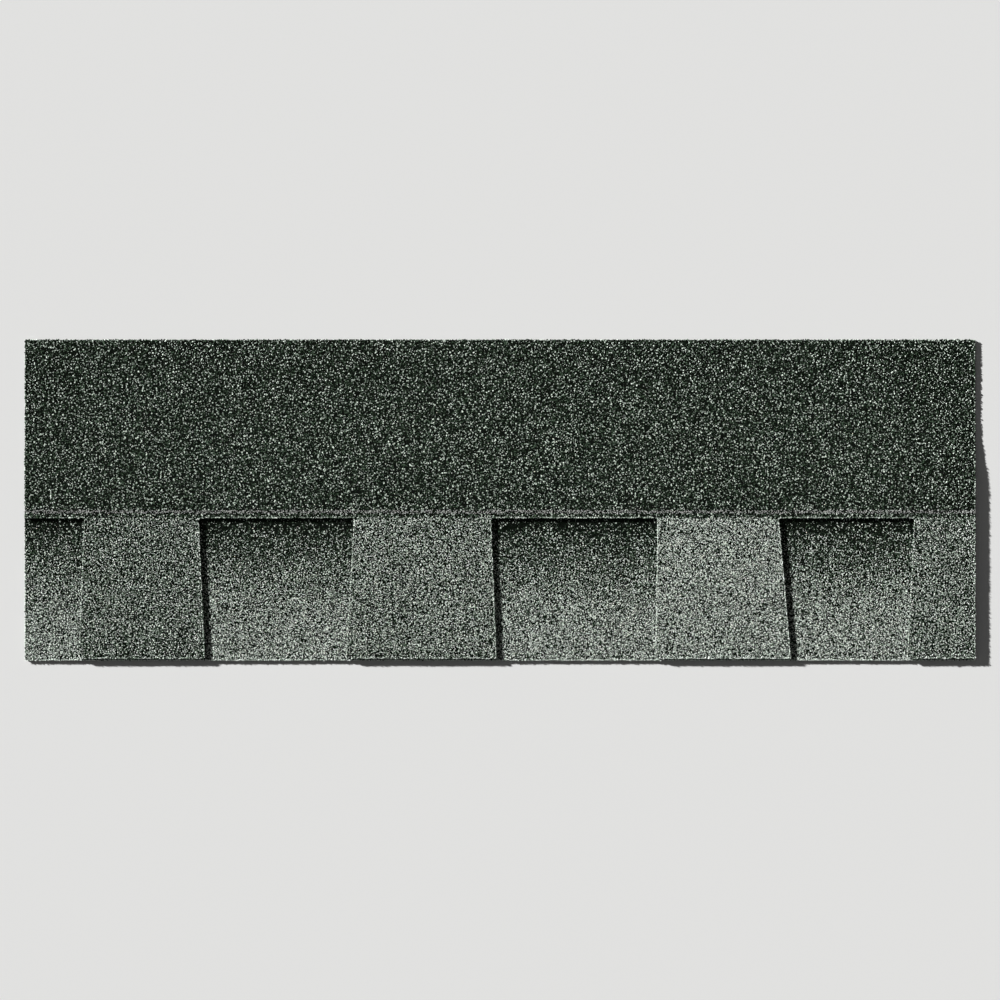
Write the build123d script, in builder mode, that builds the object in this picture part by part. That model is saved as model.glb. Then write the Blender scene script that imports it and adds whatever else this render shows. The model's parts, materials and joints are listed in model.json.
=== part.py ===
from build123d import *

import os
from itertools import cycle
from math import acos, degrees

# A laminated asphalt shingle, lying face up on a level floor.
# X runs along its length and +Y from the butt edge, lowest on a roof, to the head edge. +Z is up.
# The origin is on the floor, under the middle of the shingle. All sizes are millimetres.

# The whole shingle
shingle_length = 1000.0
shingle_height = 337.0  # butt edge of the backing strip to the head edge
exposure = 143.0  # what the next course leaves in view

# The two sheets, without the granules that stand out of them
top_sheet_thickness = 2.5
backing_thickness = 2.3
common_bond = 25.0  # the sheets overlap this far above the roots of the slots
butt_lip = 2.0  # the backing strip shows this far below the tabs

# One round of the cutting pattern, from the left. Each row is a tab's width at the butt edge,
# the width of the slot to its right, and how far its left and right sides lean in at the root.
first_slot_width = 57.0  # what the left end leaves of the slot that it cuts through
cutting_pattern = [
    (132.0, 149.0, 5.5, 6.5),
    (158.0, 168.0, 9.0, 6.0),
    (142.0, 123.0, 2.5, 13.0),
    (150.0, 136.0, 7.5, 8.0),
]
slot_above_exposure = 7.0  # the next course hides the roots of the slots
root_corner_radius = 2.5
tab_corner_radius = 1.2
least_tab_width = 45.0  # the right end of the sheet leaves no narrower piece of a tab

# Asphalt lines that bond the sheets
bond_thickness = 0.4
bond_inset = 6.0  # from every edge of the place where the sheets meet
tab_bond_width = 13.0
first_tab_bond = 20.0  # centre line of the lowest one, above the butt edge
tab_bond_pitch = 44.0

# Sealant dashes on the underside, which grip the course below
dash_length = 48.0
dash_width = 11.0
dash_thickness = 0.6
dash_gap = 13.5
dash_bevel = 0.3  # along the edge of the face that touches the course below
dash_from_butt = 13.0  # centre line of the row, above the butt edge

# Past the backing strip the top sheet comes down to the floor in two opposite bends
drape_start = 3.0  # from the head edge of the backing strip to the first bend
drape_radius = 450.0

# Release film, pressed flush into the underside of the part that lies on the floor
film_width = 45.0
film_thickness = 0.1

# Levels above the floor
backing_bottom = dash_thickness
backing_top = backing_bottom + backing_thickness
top_sheet_bottom = backing_top + bond_thickness
top_sheet_top = top_sheet_bottom + top_sheet_thickness

# Edges
butt_y = -shingle_height / 2
head_y = shingle_height / 2
slot_root_y = butt_y + exposure + slot_above_exposure
backing_head_y = slot_root_y + common_bond
left_end = -shingle_length / 2
right_end = shingle_length / 2
cut_margin = 10.0  # a cutting shape runs past the sheet by this much


def tab_spans():
    """Each tab's left and right side at the butt edge, and the leans of its two sides."""
    spans = []
    left = left_end + first_slot_width
    for width, slot_width, left_lean, right_lean in cycle(cutting_pattern):
        if left > right_end - least_tab_width:
            return spans
        spans.append((left, left + width, left_lean, right_lean))
        left += width + slot_width


def slot_spans(tabs):
    """Each slot's sides and their leans. A slot at either end of the sheet runs out through it."""
    slots = []
    left, left_lean = left_end - cut_margin, 0.0
    for tab_left, tab_right, tab_left_lean, tab_right_lean in tabs:
        slots.append((left, tab_left, left_lean, tab_left_lean))
        left, left_lean = tab_right, tab_right_lean
    if left < right_end:
        slots.append((left, right_end + cut_margin, left_lean, 0.0))
    return slots


def slot_corners(left, right, left_lean, right_lean):
    """A slot's outline, widest at its root, and run out past the butt edge on the same lines."""
    past_butt = cut_margin / (slot_root_y - butt_y)
    return [
        (left + left_lean * past_butt, butt_y - cut_margin),
        (right - right_lean * past_butt, butt_y - cut_margin),
        (right + right_lean, slot_root_y),
        (left - left_lean, slot_root_y),
    ]


def tab_bond_centres(left, right, left_lean, right_lean):
    """Length of the bond lines under one tab, and where their centres are."""
    bond_left = left + left_lean + bond_inset
    bond_right = min(right - right_lean, right_end) - bond_inset
    highest = slot_root_y - bond_inset - tab_bond_width / 2
    line_count = int((highest - butt_y - first_tab_bond) // tab_bond_pitch) + 1
    centre_x = (bond_left + bond_right) / 2
    centres = [(centre_x, butt_y + first_tab_bond + n * tab_bond_pitch) for n in range(line_count)]
    return bond_right - bond_left, centres


tabs = tab_spans()

# Top sheet: its section lies over the backing strip, drapes down and ends flat on the floor
drape_angle = degrees(acos(1 - top_sheet_bottom / (2 * drape_radius)))

with BuildPart() as top_sheet:
    with BuildSketch(Plane.YZ):
        with BuildLine():
            over_backing = Line(
                (butt_y + butt_lip, top_sheet_bottom),
                (backing_head_y + drape_start, top_sheet_bottom),
            )
            crest = JernArc(over_backing @ 1, over_backing % 1, drape_radius, -drape_angle)
            hollow = JernArc(crest @ 1, crest % 1, drape_radius, drape_angle)
            on_floor = Line(hollow @ 1, (head_y, 0))
            offset(amount=top_sheet_thickness, side=Side.LEFT, closed=True)
        make_face()
    extrude(amount=shingle_length / 2, both=True)

    # Slots, cut from the butt edge, leave the flared tabs
    with BuildSketch():
        for slot in slot_spans(tabs):
            with BuildLine():
                Polyline(*slot_corners(*slot), close=True)
            make_face()
    extrude(amount=top_sheet_top + cut_margin, mode=Mode.SUBTRACT)

    upright = top_sheet.edges().filter_by(Axis.Z)
    fillet(upright.group_by(Axis.Y)[0], radius=tab_corner_radius)
    slot_roots = upright.filter_by_position(
        Axis.Y, slot_root_y - root_corner_radius, slot_root_y + root_corner_radius
    )
    inside_corners = slot_roots.filter_by_position(
        Axis.X, left_end + root_corner_radius, right_end - root_corner_radius
    )
    fillet(inside_corners, radius=root_corner_radius)

    # Recess for the release film, half way along the flat head end
    film_y = ((on_floor @ 0).Y + head_y) / 2
    with BuildSketch():
        with Locations((0, film_y)):
            Rectangle(shingle_length, film_width)
    extrude(amount=film_thickness, mode=Mode.SUBTRACT)
top_sheet.part.label = "tabbed_top_sheet"

# Backing strip: plain, under the tabs and slots and past the roots of the slots
with BuildPart() as backing:
    with BuildSketch(Plane.XY.offset(backing_bottom)):
        with Locations((0, butt_y)):
            Rectangle(shingle_length, backing_head_y - butt_y, align=(Align.CENTER, Align.MIN))
    extrude(amount=backing_thickness)
backing.part.label = "backing_strip"

# Laminating asphalt: one line along the common bond, and short ones under each tab
with BuildPart() as bond:
    with BuildSketch(Plane.XY.offset(backing_top)):
        with Locations((0, (slot_root_y + backing_head_y) / 2)):
            SlotOverall(shingle_length - 2 * bond_inset, common_bond - 2 * bond_inset)
        for tab in tabs:
            line_length, line_centres = tab_bond_centres(*tab)
            with Locations(*line_centres):
                SlotOverall(line_length, tab_bond_width)
    extrude(amount=bond_thickness)
bond.part.label = "laminating_asphalt"

# Sealant dashes: a row of low bevelled beads, with equal plain lengths left at its ends
dash_pitch = dash_length + dash_gap
dash_count = int((shingle_length - dash_gap) // dash_pitch)

with BuildPart() as sealant:
    with BuildSketch(Plane.XY.offset(backing_bottom)):
        with Locations((0, butt_y + dash_from_butt)):
            with GridLocations(dash_pitch, 0, dash_count, 1):
                SlotOverall(dash_length, dash_width)
    extrude(amount=-dash_thickness)
    chamfer(sealant.faces().group_by(Axis.Z)[0].edges(), length=dash_bevel)
sealant.part.label = "self_seal_dashes"

# Release film: fills its recess
with BuildPart() as film:
    with BuildSketch():
        with Locations((0, film_y)):
            Rectangle(shingle_length, film_width)
    extrude(amount=film_thickness)
film.part.label = "release_film"

os.makedirs("parts", exist_ok=True)
for piece in (top_sheet, backing, bond, sealant, film):
    export_step(piece.part, f"parts/{piece.part.label}.step")
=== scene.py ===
import json
import math

import bmesh
import bpy
from bpy.props import FloatProperty, FloatVectorProperty, IntProperty, PointerProperty
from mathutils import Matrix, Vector

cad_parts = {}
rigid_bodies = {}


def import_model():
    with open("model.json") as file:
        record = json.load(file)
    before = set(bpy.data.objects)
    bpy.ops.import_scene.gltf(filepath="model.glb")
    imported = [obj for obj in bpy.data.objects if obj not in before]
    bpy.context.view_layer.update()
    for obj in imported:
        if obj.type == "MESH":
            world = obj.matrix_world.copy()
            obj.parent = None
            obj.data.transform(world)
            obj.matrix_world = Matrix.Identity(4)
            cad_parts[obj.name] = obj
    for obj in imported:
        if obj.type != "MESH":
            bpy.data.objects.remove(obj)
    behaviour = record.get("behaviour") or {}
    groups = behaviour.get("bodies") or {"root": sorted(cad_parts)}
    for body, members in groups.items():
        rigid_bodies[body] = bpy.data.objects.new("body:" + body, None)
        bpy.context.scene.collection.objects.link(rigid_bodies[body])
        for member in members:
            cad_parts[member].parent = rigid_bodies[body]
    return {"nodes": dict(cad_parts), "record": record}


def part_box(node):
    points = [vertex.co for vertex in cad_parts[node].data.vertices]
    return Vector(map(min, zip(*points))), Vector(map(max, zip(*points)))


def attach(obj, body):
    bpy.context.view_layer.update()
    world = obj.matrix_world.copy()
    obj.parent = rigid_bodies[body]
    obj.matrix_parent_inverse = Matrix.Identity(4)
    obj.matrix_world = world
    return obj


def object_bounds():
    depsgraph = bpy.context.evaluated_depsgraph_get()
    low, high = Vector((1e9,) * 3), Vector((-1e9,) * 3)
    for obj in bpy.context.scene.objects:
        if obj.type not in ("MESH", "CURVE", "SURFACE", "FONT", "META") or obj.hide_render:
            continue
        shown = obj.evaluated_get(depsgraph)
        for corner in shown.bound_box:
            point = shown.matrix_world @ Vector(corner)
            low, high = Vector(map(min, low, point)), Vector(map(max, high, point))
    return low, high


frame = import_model()
cad_low, cad_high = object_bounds()

bl_info = {
    "name": "Laminated Asphalt Shingle",
    "version": (1, 0, 0),
    "blender": (4, 5, 0),
    "location": "3D View > Sidebar > Shingle",
    "description": "Beds granules in a laminated shingle, finishes its asphalt and film, and lights it",
    "category": "Object",
}

BODY = "root"
TOP_SHEET = "tabbed_top_sheet"
BACKING = "backing_strip"
BEADS = "laminating_asphalt"
DASHES = "self_seal_dashes"
FILM = "release_film"

# The slots between the tabs, from left to right, as the record's openings give them
SLOT_CLEARANCE = 0.001  # between an opening's box and the sides and root of its slot
slot_boxes = sorted(opening["box_m"] for opening in frame["record"]["physics"]["openings"])
slot_root = slot_boxes[0][1][1] + SLOT_CLEARANCE
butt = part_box(BACKING)[0].y
slot_middles = [(low[0] + high[0]) / 2 for low, high in slot_boxes]
tab_middles = [(left[1][0] + right[0][0]) / 2 for left, right in zip(slot_boxes, slot_boxes[1:])]

# How dark each tab's blend is, from the left. At 1 all tones are equally common, and below it
# light ones are commoner.
TAB_BLENDS = (0.79, 0.6, 0.37, 0.68)
TONE_COUNT = 12
PAINT_TONE = 2.0  # marks the granules of the nail line, past the blend's tones from 0 to 1
PAIRING_ROUNDS = 3

# A granule's shape and place: a low pyramid, in shares of its reach
BASE_CORNERS = 4
PEAK_HEIGHT = 1.1  # above its base
BASE_SUNK = 0.4
WIDTH_SHARES = (0.72, 1.0)  # least and most, and so on below
HEIGHT_SHARES = (0.4, 0.8)
LIFT_SHARES = (-0.45, 0.35)
CORNER_LIFT = 0.12  # of every corner, besides what is broken away
UPRIGHT_BREAK = 0.7  # what is broken away in height, to what is broken away sideways

POINTS_TRIED = 4.0  # on each square of the spacing, before those too close together are dropped
COVER_SEARCH = (0.0001, 0.01)  # how far above a granule a cover counts, from and to
UP_FACING = 0.9  # least upward part of the normal of a face that takes granules
SAME_PLACE = 1e-6
TONE_ROUNDING = 0.0001

# Surfaces
GRANULE_GLOSS = 0.02
ASPHALT_GLOSS = 0.5
FINE_GRAINS_PER_METRE = 980.0
FINE_GRAIN_RADIUS = 0.46  # in shares of the distance between fine grains
PATCHES_PER_METRE = 40.0

# Stage
FLOOR_REACH = 6.0
FLOOR_GAP = 0.00005  # under the shingle, so that no two faces lie in one plane


# Settings that a user would change


class ShingleGranules(bpy.types.PropertyGroup):
    """Size and packing of the granules"""

    reach: FloatProperty(
        name="Reach", description="Middle of a granule to its outer corners, on the tabs and slots",
        default=0.00079, unit="LENGTH", precision=5,
    )
    spacing: FloatProperty(
        name="Spacing", description="Least distance between granules on the tabs and slots",
        default=0.001, unit="LENGTH", precision=5,
    )
    headlap_reach: FloatProperty(
        name="Headlap reach", description="Middle of a granule to its outer corners on the headlap",
        default=0.00092, unit="LENGTH", precision=5,
    )
    headlap_spacing: FloatProperty(
        name="Headlap spacing", description="Least distance between granules on the headlap",
        default=0.00122, unit="LENGTH", precision=5,
    )
    size_spread: FloatProperty(
        name="Size spread", description="Share by which a granule may be smaller or larger",
        default=0.35, subtype="FACTOR",
    )
    tilt: FloatProperty(
        name="Tilt", description="How far a granule may lie out of level",
        default=math.radians(30), subtype="ANGLE",
    )
    unevenness: FloatProperty(
        name="Unevenness", description="How far a corner is broken away, as a share of the reach",
        default=0.3, subtype="FACTOR",
    )
    rim_rise: FloatProperty(
        name="Rim rise", description="How far the row along a cut edge stands above the others",
        default=0.00005, unit="LENGTH", precision=5,
    )
    rim_stray: FloatProperty(
        name="Rim stray", description="How far a granule of that row may lie off the cut edge",
        default=0.0004, unit="LENGTH", precision=5,
    )
    seed: IntProperty(name="Seed", description="Changes where every granule lies", default=7)


class ShingleBlend(bpy.types.PropertyGroup):
    """Which tones of granule are laid where"""

    shadow_band: FloatProperty(
        name="Shadow band", description="Darkness of the blend under the roots of the slots",
        default=2.5,
    )
    slot_butt: FloatProperty(
        name="Slot butt", description="Darkness of the blend in the slots at the butt edge",
        default=0.34,
    )
    # Painted shadow: the extra darkness close under the roots of the slots stands in for the shadow
    # that the course above casts. Partly it is also the real dark granules at the top of the shadow
    # band.
    root_line: FloatProperty(
        name="Root dark grains and painted shade", description="Extra darkness of the blend close under the roots",
        default=4.0,
    )
    root_line_width: FloatProperty(
        name="Root dark grains and painted shade width", description="How far the extra darkness reaches from the roots",
        default=0.02, unit="LENGTH",
    )
    fade_power: FloatProperty(
        name="Fade power", description="Above 1, how much closer to the roots the shadow band gathers",
        default=3.0,
    )
    headlap: FloatProperty(
        name="Headlap", description="Darkness of the blend on the headlap",
        default=1.05,
    )
    headlap_lightest: FloatProperty(
        name="Headlap lightest", description="Lightest tone of the plainer blend on the headlap",
        default=0.8, subtype="FACTOR",
    )
    bed: FloatProperty(
        name="Bed", description="Darkness of the fine grains that the granules lie in",
        default=10.0,
    )
    mottle: FloatProperty(
        name="Mottle", description="Unevenness of the blend over a tab",
        default=0.06,
    )
    nail_line_height: FloatProperty(
        name="Nail line height", description="Painted nail line above the butt edge",
        default=0.156, unit="LENGTH",
    )
    nail_line_width: FloatProperty(
        name="Nail line width", description="Width of the painted nail line",
        default=0.0042, unit="LENGTH",
    )
    nail_line_fray: FloatProperty(
        name="Nail line fray", description="How far its sides may draw in from granule to granule",
        default=0.0006, unit="LENGTH", precision=5,
    )


class ShingleColours(bpy.types.PropertyGroup):
    """Colours of the granules and of the other surfaces"""

    slag: FloatVectorProperty(
        name="Slag", description="Darkest granules",
        subtype="COLOR", default=(0.0015, 0.0036, 0.0015),
    )
    forest: FloatVectorProperty(
        name="Forest", description="Dark granules",
        subtype="COLOR", default=(0.007, 0.0155, 0.0069),
    )
    sage: FloatVectorProperty(
        name="Sage", description="Middle granules",
        subtype="COLOR", default=(0.096, 0.143, 0.096),
    )
    pale_sage: FloatVectorProperty(
        name="Pale sage", description="Light granules",
        subtype="COLOR", default=(0.695, 0.788, 0.692),
    )
    bone: FloatVectorProperty(
        name="Bone", description="Lightest granules",
        subtype="COLOR", default=(0.93, 0.985, 0.925),
    )
    asphalt: FloatVectorProperty(
        name="Asphalt", description="Coating and beads",
        subtype="COLOR", default=(0.006, 0.0072, 0.0058),
    )
    dull_asphalt: FloatVectorProperty(
        name="Dull asphalt", description="Smears on the beads and dashes",
        subtype="COLOR", default=(0.03, 0.03, 0.028),
    )
    glass_fibre: FloatVectorProperty(
        name="Glass fibre", description="Fibres of the mat, where a sheet is cut",
        subtype="COLOR", default=(0.3, 0.29, 0.26),
    )
    backdust: FloatVectorProperty(
        name="Backdust", description="Mineral dust on the back",
        subtype="COLOR", default=(0.17, 0.17, 0.16),
    )
    nail_paint: FloatVectorProperty(
        name="Nail paint", description="Painted nail line",
        subtype="COLOR", default=(0.42, 0.43, 0.41),
    )
    film: FloatVectorProperty(
        name="Film", description="Release film",
        subtype="COLOR", default=(0.5, 0.51, 0.52),
    )


class ShingleStage(bpy.types.PropertyGroup):
    """Floor, lights and camera"""

    floor_colour: FloatVectorProperty(
        name="Floor", description="Colour of the floor",
        subtype="COLOR", default=(0.8, 0.8, 0.79),
    )
    key_strength: FloatProperty(name="Key strength", description="Light of the key lamp", default=8.6)
    key_from: FloatProperty(
        name="Key direction", description="Turn of the key lamp from the head edge to the left end",
        default=math.radians(62), subtype="ANGLE",
    )
    key_height: FloatProperty(
        name="Key height", description="Height of the key lamp above the horizon",
        default=math.radians(18.5), subtype="ANGLE",
    )
    key_size: FloatProperty(
        name="Key size", description="Width of the key lamp as seen from the shingle",
        default=math.radians(2.5), subtype="ANGLE",
    )
    fill_strength: FloatProperty(
        name="Fill strength", description="Even light from all round",
        default=0.07,
    )
    lens: FloatProperty(name="Lens", description="Focal length in millimetres", default=200.0)
    frame_share: FloatProperty(
        name="Frame share", description="Share of the picture's width that the shingle takes",
        default=0.95, subtype="FACTOR",
    )


class ShingleSettings(bpy.types.PropertyGroup):
    """All settings of the shingle"""

    granules: PointerProperty(type=ShingleGranules)
    blend: PointerProperty(type=ShingleBlend)
    colours: PointerProperty(type=ShingleColours)
    stage: PointerProperty(type=ShingleStage)


def settings():
    """What the property groups hold."""
    return bpy.context.scene.shingle


# Node graphs


class Value:
    """A socket. An expression on numbers adds the Math nodes that work it out."""

    def __init__(self, graph, socket):
        self.graph = graph
        self.socket = socket

    def maths(self, operation, *values):
        return self.graph.node("ShaderNodeMath", {"operation": operation}, values)[0]

    def __add__(self, other):
        return self.maths("ADD", self, other)

    def __sub__(self, other):
        return self.maths("SUBTRACT", self, other)

    def __mul__(self, other):
        return self.maths("MULTIPLY", self, other)

    def __truediv__(self, other):
        return self.maths("DIVIDE", self, other)

    def __pow__(self, other):
        return self.maths("POWER", self, other)

    def __lt__(self, other):
        return self.maths("LESS_THAN", self, other)

    def __gt__(self, other):
        return self.maths("GREATER_THAN", self, other)

    def __abs__(self):
        return self.maths("ABSOLUTE", self)

    def __radd__(self, other):
        return self.maths("ADD", other, self)

    def __rsub__(self, other):
        return self.maths("SUBTRACT", other, self)

    def __rmul__(self, other):
        return self.maths("MULTIPLY", other, self)

    def __rtruediv__(self, other):
        return self.maths("DIVIDE", other, self)


class Made:
    """A node that was added to a graph, whose outputs are read by name or by place."""

    def __init__(self, graph, node):
        self.graph = graph
        self.outputs = [socket for socket in node.outputs if socket.enabled]

    def __getitem__(self, key):
        if isinstance(key, int):
            return Value(self.graph, self.outputs[key])
        return Value(self.graph, next(socket for socket in self.outputs if socket.name == key))


class Graph:
    """A node tree that nodes are added to."""

    def __init__(self, tree):
        self.tree = tree

    def node(self, kind, options=None, sockets=()):
        """Adds a node. Its options are set first, then its sockets, by name or in order.

        A socket takes a value, a link or a list of links."""
        node = self.tree.nodes.new(kind)
        for name, option in (options or {}).items():
            if name == "stops":
                self.set_stops(node.color_ramp.elements, option)
            else:
                setattr(node, name, option)
        enabled = [socket for socket in node.inputs if socket.enabled]
        if isinstance(sockets, dict):
            named = {socket.name: socket for socket in reversed(enabled)}
            pairs = [(named[name], value) for name, value in sockets.items()]
        else:
            pairs = list(zip(enabled, sockets))
        for socket, value in pairs:
            joined = value if isinstance(value, list) else [value]
            if isinstance(joined[0], Value):
                for one in joined:
                    self.tree.links.new(one.socket, socket)
            else:
                socket.default_value = value
        return Made(self, node)

    @staticmethod
    def set_stops(elements, stops):
        """Gives a colour ramp these (place, colour) stops."""
        while len(elements) < len(stops):
            elements.new(1.0)
        for element, (place, colour) in zip(elements, stops):
            element.position = place
            element.color = (*colour, 1.0)

    def mix(self, share, one, other):
        """The colour one at share 0 and the other at share 1."""
        sockets = {"Factor": share, "A": self.colour(one), "B": self.colour(other)}
        return self.node("ShaderNodeMix", {"data_type": "RGBA"}, sockets)["Result"]

    @staticmethod
    def colour(value):
        """A colour with its alpha, or the value as it is."""
        return value if isinstance(value, Value) else (*value, 1.0)

    def parts(self, vector):
        """The X, Y and Z of a vector."""
        split = self.node("ShaderNodeSeparateXYZ", sockets=[vector])
        return split[0], split[1], split[2]

    def vector(self, x, y, z):
        return self.node("ShaderNodeCombineXYZ", sockets=[x, y, z])["Vector"]


class Material(Graph):
    """A material with one Principled shader, whose constants are set on the shader itself."""

    def __init__(self, name, **constants):
        self.material = bpy.data.materials.new(name)
        self.material.use_nodes = True
        super().__init__(self.material.node_tree)
        self.tree.nodes.clear()
        self.shader = self.tree.nodes.new("ShaderNodeBsdfPrincipled")
        output = self.tree.nodes.new("ShaderNodeOutputMaterial")
        self.tree.links.new(self.shader.outputs["BSDF"], output.inputs["Surface"])
        for socket_name, value in constants.items():
            self.shader.inputs[socket_name.replace("_", " ")].default_value = value
        self.place = self.node("ShaderNodeTexCoord")["Object"]

    def drive(self, name, value):
        """Feeds one of the shader's sockets."""
        self.tree.links.new(value.socket, self.shader.inputs[name])

    def noise(self, size, detail=3.0, stretch=(1.0, 1.0, 1.0)):
        """Noise with features of about this size in metres, wider by stretch along each axis."""
        scale = tuple(1.0 / (size * along) for along in stretch)
        place = self.node(
            "ShaderNodeMapping", sockets={"Vector": self.place, "Scale": scale}
        )["Vector"]
        return self.node(
            "ShaderNodeTexNoise", sockets={"Vector": place, "Scale": 1.0, "Detail": detail}
        )[0]

    def bump(self, height, depth):
        """Feeds the shader's normal with height from 0 to 1, this deep in metres."""
        normal = self.node("ShaderNodeBump", sockets={"Distance": depth, "Height": height})["Normal"]
        self.drive("Normal", normal)


# Materials


def dimmed(colour, share):
    return tuple(share * part for part in colour)


def tone_stops():
    """The granules' own colours, each with its tone from 0, the darkest, to 1, the lightest."""
    colours = settings().colours
    shades = [colours.slag, colours.forest, colours.sage, colours.pale_sage, colours.bone]
    return [(place / (len(shades) - 1), shade) for place, shade in enumerate(shades)]


def tone_colour(tone):
    """Colour of the granules at any tone."""
    stops = tone_stops()
    for (low, dark), (high, light) in zip(stops, stops[1:]):
        if tone <= high:
            return tuple(Vector(dark).lerp(Vector(light), (tone - low) / (high - low)))


def granule_material(name, colour, roughness):
    """A ceramic-coated granule is one colour all over. It is the blend that varies over the sheet."""
    material = Material(name, Roughness=roughness, Specular_IOR_Level=GRANULE_GLOSS)
    material.shader.inputs["Base Color"].default_value = (*colour, 1.0)
    return material.material


def granule_materials():
    """One material for each tone, from dark to light, and the nail line's paint last. Made once."""
    names = [f"granule_tone_{step:02d}" for step in range(TONE_COUNT)]
    if names[0] not in bpy.data.materials:
        for step, name in enumerate(names):
            tone = step / (TONE_COUNT - 1)
            roughness = 0.5 + 0.3 * tone  # light granules are duller
            granule_material(name, tone_colour(tone), roughness)
        granule_material("nail_line_paint", settings().colours.nail_paint, 0.55)
    return [bpy.data.materials[name] for name in (*names, "nail_line_paint")]


def sheet_material(name):
    """Coated sheet: fine grains on its top face, bare asphalt on its cut edges and dust on its back."""
    colours = settings().colours
    material = Material(name, Specular_IOR_Level=GRANULE_GLOSS)
    normal_z = material.parts(material.node("ShaderNodeNewGeometry")["Normal"])[2]
    top = normal_z > 0.5
    back = normal_z < -0.5

    # Fine grains of all tones, mostly dark, with asphalt between them
    cells = material.node(
        "ShaderNodeTexVoronoi",
        {"feature": "F1"},
        {"Vector": material.place, "Scale": FINE_GRAINS_PER_METRE},
    )
    tone = material.parts(cells["Color"])[0] ** settings().blend.bed
    grain = material.node("ShaderNodeValToRGB", {"stops": tone_stops()}, [tone])["Color"]
    in_grain = cells["Distance"] < FINE_GRAIN_RADIUS
    top_colour = material.mix(in_grain, colours.asphalt, grain)
    dome = (0.5 - cells["Distance"]) * top

    # Glass fibres show faintly in the asphalt of a cut edge
    fibre = material.noise(0.0004, stretch=(6.0, 6.0, 1.0))
    edge_colour = material.mix((fibre > 0.66) * 0.25, colours.asphalt, colours.glass_fibre)

    # Dust covers most of the back, in specks and in wide smears
    dust = material.noise(0.0009)
    smear = material.noise(0.05, detail=6.0)
    dust_share = (dust - 0.5) * 2.6 + smear * 0.5 + 0.45
    back_colour = material.mix(dust_share, colours.asphalt, colours.backdust)

    colour = material.mix(back, material.mix(top, edge_colour, top_colour), back_colour)
    material.drive("Base Color", colour)
    material.drive("Roughness", 0.9 - 0.25 * top * in_grain)
    material.bump(dome + 0.25 * dust * back + 0.3 * fibre * (1 - top), 0.0009)
    return material.material


def asphalt_material(name, roughness):
    """Asphalt laid hot: black and glossy, with a skin that flowed and a few dull smears."""
    colours = settings().colours
    material = Material(name, Specular_IOR_Level=ASPHALT_GLOSS)
    flow = material.noise(0.004, stretch=(3.0, 1.0, 1.0))
    smear = material.noise(0.012)
    material.drive("Base Color", material.mix(smear * 0.5, colours.asphalt, colours.dull_asphalt))
    material.drive("Roughness", roughness + 0.25 * smear)
    material.bump(flow, 0.0004)
    return material.material


def film_material():
    """Release film: thin and smooth, pressed on with long shallow wrinkles across it."""
    colour = settings().colours.film
    material = Material("release_film_finish", Specular_IOR_Level=0.5)
    wrinkle = material.noise(0.004, detail=2.0, stretch=(1.0, 8.0, 1.0))
    haze = material.noise(0.05)
    material.drive("Base Color", material.mix(haze * 0.5, colour, dimmed(colour, 0.7)))
    material.drive("Roughness", 0.22 + 0.2 * haze)
    material.bump(wrinkle, 0.0003)
    return material.material


def finish_node(node, material):
    """Gives a CAD node its material, in place of the plain one it came with."""
    frame["nodes"][node].data.materials.clear()
    frame["nodes"][node].data.materials.append(material)


# Granules


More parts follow.
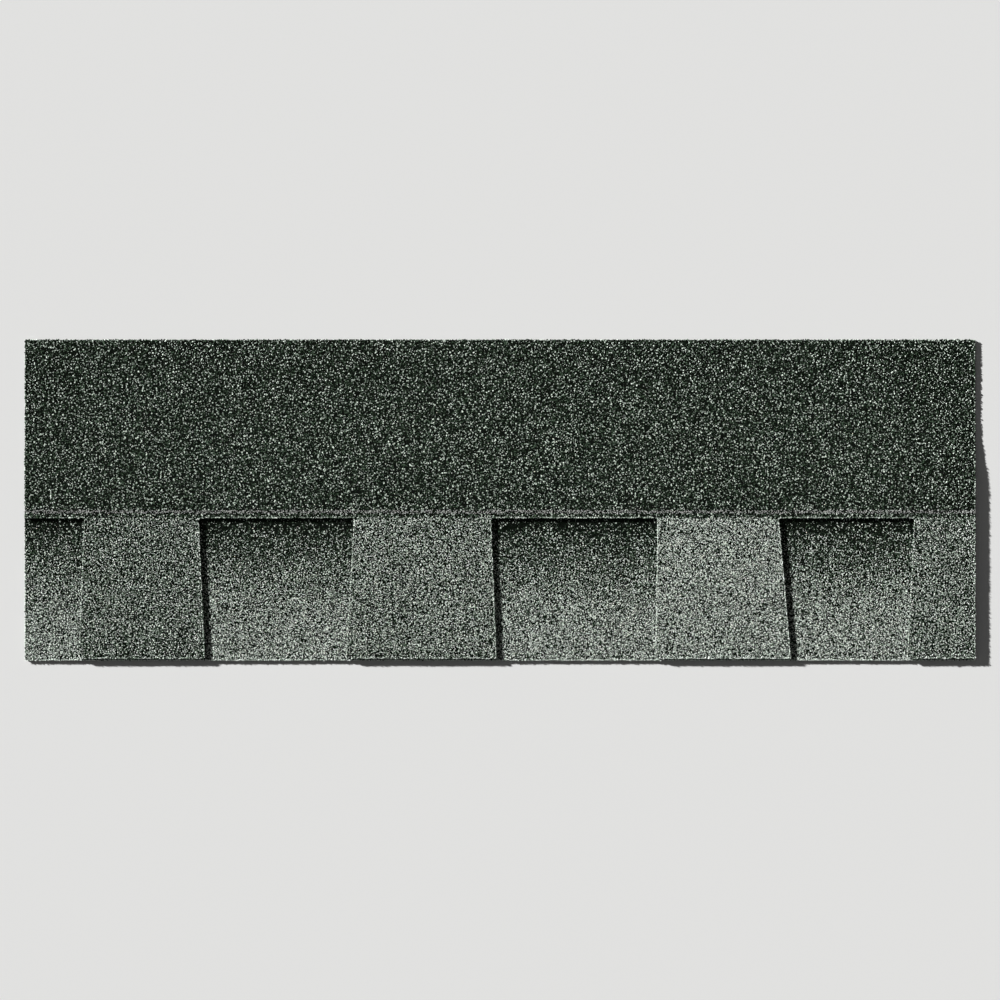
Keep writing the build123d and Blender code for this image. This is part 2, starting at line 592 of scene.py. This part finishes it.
class GranuleBed(Graph):
    """The node group that beds granules in the faces it is given, each in one tone of the blend."""

    name = "Granule bed"
    inputs = {
        "Bed": "NodeSocketGeometry",
        "Cover": "NodeSocketObject",
        "Spacing": "NodeSocketFloat",
        "Reach": "NodeSocketFloat",
        "Size Spread": "NodeSocketFloat",
        "Tilt": "NodeSocketFloat",
        "Unevenness": "NodeSocketFloat",
        "Rim Rise": "NodeSocketFloat",
        "Rim Stray": "NodeSocketFloat",
        "Blend Low": "NodeSocketFloat",
        "Blend High": "NodeSocketFloat",
        "Lightest": "NodeSocketFloat",
        "Fade From": "NodeSocketFloat",
        "Fade To": "NodeSocketFloat",
        "Fade Power": "NodeSocketFloat",
        "Root Line": "NodeSocketFloat",
        "Root Line Width": "NodeSocketFloat",
        "Mottle": "NodeSocketFloat",
        "Nail Line": "NodeSocketFloat",
        "Nail Line Width": "NodeSocketFloat",
        "Nail Line Fray": "NodeSocketFloat",
        "Seed": "NodeSocketInt",
    }
    stored_names = ("draw", "paired", "tone")

    def __init__(self):
        super().__init__(bpy.data.node_groups.new(self.name, "GeometryNodeTree"))
        interface = self.tree.interface
        interface.new_socket("Geometry", in_out="OUTPUT", socket_type="NodeSocketGeometry")
        for name, kind in self.inputs.items():
            interface.new_socket(name, in_out="INPUT", socket_type=kind)
        self.given = self.node("NodeGroupInput")
        self.place = self.node("GeometryNodeInputPosition")["Position"]
        self.index = self.node("GeometryNodeInputIndex")["Index"]

        points = self.scatter()
        points = self.clear_covered(points)
        points = self.press(points)
        points = self.draw_numbers(points)
        points = self.choose_tones(points)
        mesh = self.place_granules(points)
        mesh = self.break_corners(mesh)
        mesh = self.set_materials(mesh)
        self.node("NodeGroupOutput", sockets={"Geometry": mesh})

    def random(self, low, high, key):
        """A random number for each granule or corner. Numbers with different keys don't go together."""
        sockets = {"Min": low, "Max": high, "Seed": self.given["Seed"] + key}
        return self.node("FunctionNodeRandomValue", {"data_type": "FLOAT"}, sockets)["Value"]

    def store(self, points, name, value):
        sockets = {"Geometry": points, "Name": name, "Value": value}
        return self.node("GeometryNodeStoreNamedAttribute", sockets=sockets)["Geometry"]

    def stored(self, name, kind="FLOAT"):
        options = {"data_type": kind}
        return self.node("GeometryNodeInputNamedAttribute", options, {"Name": name})["Attribute"]

    def value_at(self, index, value):
        """What a value is at the granule with this index."""
        return self.node("GeometryNodeFieldAtIndex", sockets={"Value": value, "Index": index})["Value"]

    def move(self, geometry, offset):
        sockets = {"Geometry": geometry, "Offset": offset}
        return self.node("GeometryNodeSetPosition", sockets=sockets)["Geometry"]

    def scatter(self):
        """Points over the bed, and a row along its cut edges that strays a little off them."""
        given = self.given
        over_bed = self.node(
            "GeometryNodeDistributePointsOnFaces",
            {"distribute_method": "POISSON"},
            {
                "Mesh": given["Bed"],
                "Distance Min": given["Spacing"],
                "Density Max": POINTS_TRIED / given["Spacing"] ** 2,
                "Seed": given["Seed"],
            },
        )["Points"]
        on_rim = self.stored("rim", "INT") > 0.5
        cut_edges = self.node(
            "GeometryNodeMeshToCurve", sockets={"Mesh": given["Bed"], "Selection": on_rim}
        )["Curve"]
        in_row = self.node(
            "GeometryNodeCurveToPoints",
            {"mode": "LENGTH"},
            {"Curve": cut_edges, "Length": given["Spacing"]},
        )["Points"]
        in_row = self.move(in_row, self.vector(
            self.random(-1.0, 1.0, 13) * given["Rim Stray"],
            self.random(-1.0, 1.0, 14) * given["Rim Stray"],
            given["Rim Rise"],
        ))
        points = self.node("GeometryNodeJoinGeometry", sockets=[[over_bed, in_row]])["Geometry"]
        sockets = {"Geometry": points, "ID": self.index}
        return self.node("GeometryNodeSetID", sockets=sockets)["Geometry"]

    def clear_covered(self, points):
        """Leaves out the points that the cover hides from above."""
        start, reach = COVER_SEARCH
        above = self.node(
            "ShaderNodeVectorMath", {"operation": "ADD"}, [self.place, (0.0, 0.0, start)]
        )["Vector"]
        cover = self.node(
            "GeometryNodeObjectInfo", sockets={"Object": self.given["Cover"]}
        )["Geometry"]
        hidden = self.node(
            "GeometryNodeRaycast",
            sockets={
                "Target Geometry": cover,
                "Source Position": above,
                "Ray Direction": (0.0, 0.0, 1.0),
                "Ray Length": reach,
            },
        )["Is Hit"]
        return self.node(
            "GeometryNodeDeleteGeometry",
            {"domain": "POINT"},
            {"Geometry": points, "Selection": hidden},
        )["Geometry"]

    def press(self, points):
        """Presses some granules deeper than others."""
        lift = self.given["Reach"] * self.random(*LIFT_SHARES, 12)
        return self.move(points, self.vector(0.0, 0.0, lift))

    def draw_numbers(self, points):
        """Stores a number from 0 to 1 for each granule, which its tone follows.

        In each round those that are still single and lie closest to each other make a pair, and one
        takes the other's number turned round, so that light and dark granules are mixed evenly."""
        points = self.store(points, "draw", self.random(0.0, 1.0, 1))
        points = self.store(points, "paired", 0.0)
        draw = self.stored("draw")
        paired = self.stored("paired")
        for _ in range(PAIRING_ROUNDS):
            nearest = self.node("GeometryNodeIndexOfNearest", sockets={"Group ID": paired})["Index"]
            mutual = abs(self.value_at(nearest, nearest) - self.index) < 0.5
            meets = mutual * (paired < 0.5)
            follows = meets * (self.index > nearest)
            turned = 1 - self.value_at(nearest, draw)
            points = self.store(points, "draw", draw + follows * (turned - draw))
            points = self.store(points, "paired", paired + meets)
        return points

    def choose_tones(self, points):
        """Stores each granule's tone: 0 to 1 through the blend, and more where the nail line is."""
        given = self.given
        y = self.parts(self.place)[1]
        risen = self.node(
            "ShaderNodeMapRange",
            sockets={"Value": y, "From Min": given["Fade From"], "From Max": given["Fade To"]},
        )["Result"]
        gathered = risen ** given["Fade Power"]
        fade = given["Blend Low"] + (given["Blend High"] - given["Blend Low"]) * gathered
        # Painted shadow close under the roots, partly real dark granules, added to the darkness of the
        # blend
        root_line = self.node(
            "ShaderNodeMapRange",
            {"interpolation_type": "SMOOTHSTEP"},
            {
                "Value": y,
                "From Min": given["Fade To"] - given["Root Line Width"],
                "From Max": given["Fade To"],
                "To Min": 0.0,
                "To Max": given["Root Line"],
            },
        )["Result"]
        patch = self.node(
            "ShaderNodeTexNoise",
            sockets={"Vector": self.place, "Scale": PATCHES_PER_METRE, "Detail": 2.0},
        )[0]
        darkness = fade + root_line + (patch - 0.5) * given["Mottle"]
        tone = given["Lightest"] * self.stored("draw") ** darkness

        off_line = abs(y - given["Nail Line"]) + given["Nail Line Fray"] * self.random(0.0, 1.0, 2)
        painted = off_line < given["Nail Line Width"] * 0.5
        return self.store(points, "tone", tone + PAINT_TONE * painted)

    def place_granules(self, points):
        """Crushed granules: low pyramids with a sunk base, each turned, tilted and sized at random."""
        tilt = self.given["Tilt"]
        turn = self.vector(
            self.random(-1.0, 1.0, 3) * tilt,
            self.random(-1.0, 1.0, 4) * tilt,
            self.random(0.0, math.tau, 5),
        )
        size = self.given["Reach"] * (1 + self.random(-1.0, 1.0, 6) * self.given["Size Spread"])
        scale = self.vector(
            size,
            size * self.random(*WIDTH_SHARES, 7),
            size * self.random(*HEIGHT_SHARES, 8),
        )
        granule = self.node("GeometryNodeMeshCone", sockets={
            "Vertices": BASE_CORNERS, "Radius Top": 0.0, "Radius Bottom": 1.0, "Depth": PEAK_HEIGHT,
        })["Mesh"]
        granule = self.node("GeometryNodeTransform", sockets={
            "Geometry": granule, "Translation": (0.0, 0.0, -BASE_SUNK),
        })["Geometry"]
        placed = self.node(
            "GeometryNodeInstanceOnPoints",
            sockets={"Points": points, "Instance": granule, "Rotation": turn, "Scale": scale},
        )["Instances"]
        return self.node("GeometryNodeRealizeInstances", sockets={"Geometry": placed})["Geometry"]

    def break_corners(self, mesh):
        """Breaks each corner away differently, and keeps the faces flat."""
        reach = self.given["Reach"]
        slack = reach * self.given["Unevenness"]
        mesh = self.move(mesh, self.vector(
            self.random(-1.0, 1.0, 9) * slack,
            self.random(-1.0, 1.0, 10) * slack,
            self.random(-UPRIGHT_BREAK, UPRIGHT_BREAK, 11) * slack + reach * CORNER_LIFT,
        ))
        sockets = {"Geometry": mesh, "Shade Smooth": False}
        return self.node("GeometryNodeSetShadeSmooth", sockets=sockets)["Geometry"]

    def set_materials(self, mesh):
        """Gives each granule the material of its tone, laid from dark to light and the paint last."""
        tone = self.stored("tone")
        steps = [step / TONE_COUNT for step in range(TONE_COUNT)] + [PAINT_TONE - 0.5]
        for step, material in zip(steps, granule_materials()):
            reached = tone > step - TONE_ROUNDING
            sockets = {"Geometry": mesh, "Selection": reached, "Material": material}
            mesh = self.node("GeometryNodeSetMaterial", sockets=sockets)["Geometry"]
        return mesh


def granule_group():
    """The granule bed's node group, made once."""
    if GranuleBed.name not in bpy.data.node_groups:
        GranuleBed()
    return bpy.data.node_groups[GranuleBed.name]


def bed_of(node, x_range, y_range):
    """The faces of a CAD node that look up within these ranges, as an object of their own."""
    mesh = bmesh.new()
    mesh.from_mesh(frame["nodes"][node].data)
    bmesh.ops.remove_doubles(mesh, verts=mesh.verts, dist=SAME_PLACE)
    mesh.normal_update()
    others = [face for face in mesh.faces if face.normal.z < UP_FACING]
    bmesh.ops.delete(mesh, geom=others, context="FACES")
    rim = mesh.edges.layers.int.new("rim")
    for edge in mesh.edges:
        edge[rim] = len(edge.link_faces) == 1
    for axis, (low, high) in ((Vector((1, 0, 0)), x_range), (Vector((0, 1, 0)), y_range)):
        for limit, outwards in ((low, -axis), (high, axis)):
            bmesh.ops.bisect_plane(
                mesh, geom=mesh.verts[:] + mesh.edges[:] + mesh.faces[:],
                plane_co=axis * limit, plane_no=outwards, clear_outer=True,
            )
    data = bpy.data.meshes.new("bed")
    mesh.to_mesh(data)
    mesh.free()
    bed = bpy.data.objects.new("bed", data)
    bpy.context.scene.collection.objects.link(bed)
    return bed


def bed_values():
    """The granule bed's inputs as they are on the tabs, by name. Other places change some of them."""
    granules = settings().granules
    blend = settings().blend
    return {
        "Cover": frame["nodes"][TOP_SHEET],
        "Spacing": granules.spacing,
        "Reach": granules.reach,
        "Size Spread": granules.size_spread,
        "Tilt": granules.tilt,
        "Unevenness": granules.unevenness,
        "Rim Rise": granules.rim_rise,
        "Rim Stray": granules.rim_stray,
        "Lightest": 1.0,
        "Fade Power": blend.fade_power,
        "Root Line": 0.0,
        "Root Line Width": blend.root_line_width,
        "Mottle": blend.mottle,
        "Nail Line": butt + blend.nail_line_height,
        "Nail Line Width": blend.nail_line_width,
        "Nail Line Fray": blend.nail_line_fray,
        "Seed": granules.seed + len(bpy.data.objects),  # another one for each piece
    }


def clean_mesh(data):
    """Drops the numbers that the node group stored, and the materials that no granule has."""
    for name in GranuleBed.stored_names:
        data.attributes.remove(data.attributes[name])
    used = {face.material_index for face in data.polygons}
    for index in reversed(range(len(data.materials))):
        if index not in used:
            data.materials.pop(index=index)


def lay_granules(name, node, x_range, y_range, own_values):
    """Lays granules on part of a CAD node, as a plain mesh that rides on the shingle.

    own_values are the granule bed's inputs that this piece sets itself, by name."""
    bed = bed_of(node, x_range, y_range)
    modifier = bed.modifiers.new("Granules", "NODES")
    modifier.node_group = granule_group()
    values = bed_values() | {"Fade From": y_range[0], "Fade To": y_range[1]} | own_values
    for item in modifier.node_group.interface.items_tree:
        if item.in_out == "INPUT" and item.name in values:
            modifier[item.identifier] = values[item.name]
    bpy.context.view_layer.update()
    evaluated = bed.evaluated_get(bpy.context.evaluated_depsgraph_get())
    data = bpy.data.meshes.new_from_object(evaluated)
    bpy.data.objects.remove(bed)
    clean_mesh(data)
    data.name = name
    piece = bpy.data.objects.new(name, data)
    bpy.context.scene.collection.objects.link(piece)
    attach(piece, BODY)


# Operators


class SHINGLE_OT_sheets(bpy.types.Operator):
    """Finish the top sheet and the backing strip"""

    bl_idname = "shingle.sheets"
    bl_label = "Finish Sheets"

    def execute(self, context):
        finish_node(TOP_SHEET, sheet_material("top_sheet_finish"))
        finish_node(BACKING, sheet_material("backing_finish"))
        return {"FINISHED"}


class SHINGLE_OT_asphalt(bpy.types.Operator):
    """Finish the laminating beads and the sealant dashes"""

    bl_idname = "shingle.asphalt"
    bl_label = "Finish Asphalt"

    def execute(self, context):
        finish_node(BEADS, asphalt_material("laminating_asphalt_finish", 0.3))
        finish_node(DASHES, asphalt_material("seal_asphalt_finish", 0.18))
        return {"FINISHED"}


class SHINGLE_OT_film(bpy.types.Operator):
    """Finish the release film"""

    bl_idname = "shingle.film"
    bl_label = "Finish Release Film"

    def execute(self, context):
        finish_node(FILM, film_material())
        return {"FINISHED"}


class SHINGLE_OT_tab_granules(bpy.types.Operator):
    """Lay the granules of each tab, in its own blend"""

    bl_idname = "shingle.tab_granules"
    bl_label = "Lay Tab Granules"

    def execute(self, context):
        edges = [*slot_middles, cad_high.x]
        for number, (left, right, blend) in enumerate(zip(edges, edges[1:], TAB_BLENDS), 1):
            lay_granules(
                f"tab_granules_{number}", TOP_SHEET, (left, right), (butt, slot_root),
                {"Blend Low": blend, "Blend High": blend},
            )
        return {"FINISHED"}


class SHINGLE_OT_slot_granules(bpy.types.Operator):
    """Lay the granules of the backing strip in each slot, darker towards its root"""

    bl_idname = "shingle.slot_granules"
    bl_label = "Lay Slot Granules"

    def execute(self, context):
        blend = context.scene.shingle.blend
        own_values = {
            "Blend Low": blend.slot_butt,
            "Blend High": blend.shadow_band,
            # painted shadow under the roots, partly real dark granules
            "Root Line": blend.root_line,
        }
        edges = [cad_low.x, *tab_middles, cad_high.x]
        for number, (left, right) in enumerate(zip(edges, edges[1:]), 1):
            lay_granules(
                f"slot_granules_{number}", BACKING, (left, right), (butt, slot_root),
                own_values,
            )
        return {"FINISHED"}


class SHINGLE_OT_headlap_granules(bpy.types.Operator):
    """Lay the plainer granules of the headlap, with the painted nail line"""

    bl_idname = "shingle.headlap_granules"
    bl_label = "Lay Headlap Granules"

    def execute(self, context):
        granules = context.scene.shingle.granules
        blend = context.scene.shingle.blend
        own_values = {
            "Reach": granules.headlap_reach,
            "Spacing": granules.headlap_spacing,
            "Blend Low": blend.headlap,
            "Blend High": blend.headlap,
            "Lightest": blend.headlap_lightest,
        }
        edges = [cad_low.x, cad_low.x / 3, cad_high.x / 3, cad_high.x]
        for third, left, right in zip(("left", "middle", "right"), edges, edges[1:]):
            lay_granules(
                f"headlap_granules_{third}", TOP_SHEET, (left, right), (slot_root, cad_high.y),
                own_values,
            )
        return {"FINISHED"}


class SHINGLE_OT_stage(bpy.types.Operator):
    """Set the floor, the lights and the camera"""

    bl_idname = "shingle.stage"
    bl_label = "Set Stage"

    def execute(self, context):
        stage = context.scene.shingle.stage
        self.lay_floor(context.scene, stage)
        self.hang_key(context.scene, stage)
        self.fill(context.scene, stage)
        self.aim_camera(context.scene, stage)
        context.scene.view_settings.view_transform = "Standard"
        return {"FINISHED"}

    def lay_floor(self, scene, stage):
        data = bpy.data.meshes.new("floor")
        signs = ((-1, -1), (1, -1), (1, 1), (-1, 1))
        corners = [(x * FLOOR_REACH, y * FLOOR_REACH, -FLOOR_GAP) for x, y in signs]
        data.from_pydata(corners, [], [(0, 1, 2, 3)])
        floor = bpy.data.objects.new("floor", data)
        scene.collection.objects.link(floor)
        material = Material("floor_finish", Roughness=0.9, Specular_IOR_Level=0.1)
        grain = material.noise(0.5)
        pale = stage.floor_colour
        material.drive("Base Color", material.mix(grain * 0.1, pale, dimmed(pale, 0.9)))
        data.materials.append(material.material)

    def hang_key(self, scene, stage):
        """A small low lamp, so that each tab throws a black shadow."""
        data = bpy.data.lights.new("key", "SUN")
        data.energy = stage.key_strength
        data.angle = stage.key_size
        key = bpy.data.objects.new("key", data)
        scene.collection.objects.link(key)
        level = math.cos(stage.key_height)
        towards = Vector((
            -math.sin(stage.key_from) * level,
            math.cos(stage.key_from) * level,
            math.sin(stage.key_height),
        ))
        key.rotation_mode = "QUATERNION"
        key.rotation_quaternion = towards.to_track_quat("Z", "Y")

    def fill(self, scene, stage):
        """Weak even light on the shingle, from a world that looks white."""
        scene.world = bpy.data.worlds.new("studio")
        scene.world.use_nodes = True
        graph = Graph(scene.world.node_tree)
        graph.tree.nodes.clear()
        path = graph.node("ShaderNodeLightPath")
        seen = path["Is Camera Ray"] + path["Is Glossy Ray"] + path["Is Transmission Ray"]
        shown = (seen > 0.5) * (1 - stage.fill_strength) + stage.fill_strength
        light = graph.node(
            "ShaderNodeBackground", sockets={"Color": (1.0, 1.0, 1.0, 1.0), "Strength": shown}
        )
        graph.node("ShaderNodeOutputWorld", sockets={"Surface": light["Background"]})

    def aim_camera(self, scene, stage):
        """Straight down on the middle of the shingle."""
        data = bpy.data.cameras.new("camera")
        data.lens = stage.lens
        camera = bpy.data.objects.new("camera", data)
        scene.collection.objects.link(camera)
        middle = (cad_low + cad_high) / 2
        width = (cad_high.x - cad_low.x) / stage.frame_share
        distance = width * data.lens / data.sensor_width
        camera.location = (middle.x, middle.y, cad_high.z + distance)
        data.clip_end = 4 * distance
        scene.camera = camera


class SHINGLE_PT_panel(bpy.types.Panel):
    """Lists the steps in the order they are run"""

    bl_idname = "SHINGLE_PT_panel"
    bl_label = "Laminated Shingle"
    bl_space_type = "VIEW_3D"
    bl_region_type = "UI"
    bl_category = "Shingle"

    def draw(self, context):
        for operator in OPERATORS:
            self.layout.operator(operator.bl_idname)


OPERATORS = (
    SHINGLE_OT_stage,
    SHINGLE_OT_sheets,
    SHINGLE_OT_asphalt,
    SHINGLE_OT_film,
    SHINGLE_OT_tab_granules,
    SHINGLE_OT_slot_granules,
    SHINGLE_OT_headlap_granules,
)
GROUPS = (ShingleGranules, ShingleBlend, ShingleColours, ShingleStage, ShingleSettings)


def register():
    for part in (*GROUPS, *OPERATORS, SHINGLE_PT_panel):
        bpy.utils.register_class(part)
    bpy.types.Scene.shingle = PointerProperty(type=ShingleSettings)


def unregister():
    del bpy.types.Scene.shingle
    for part in reversed((*GROUPS, *OPERATORS, SHINGLE_PT_panel)):
        bpy.utils.unregister_class(part)


def main():
    register()
    bpy.ops.shingle.stage()
    bpy.ops.shingle.sheets()
    bpy.ops.shingle.asphalt()
    bpy.ops.shingle.film()
    bpy.ops.shingle.tab_granules()
    bpy.ops.shingle.slot_granules()
    bpy.ops.shingle.headlap_granules()


if __name__ == "__main__":
    main()
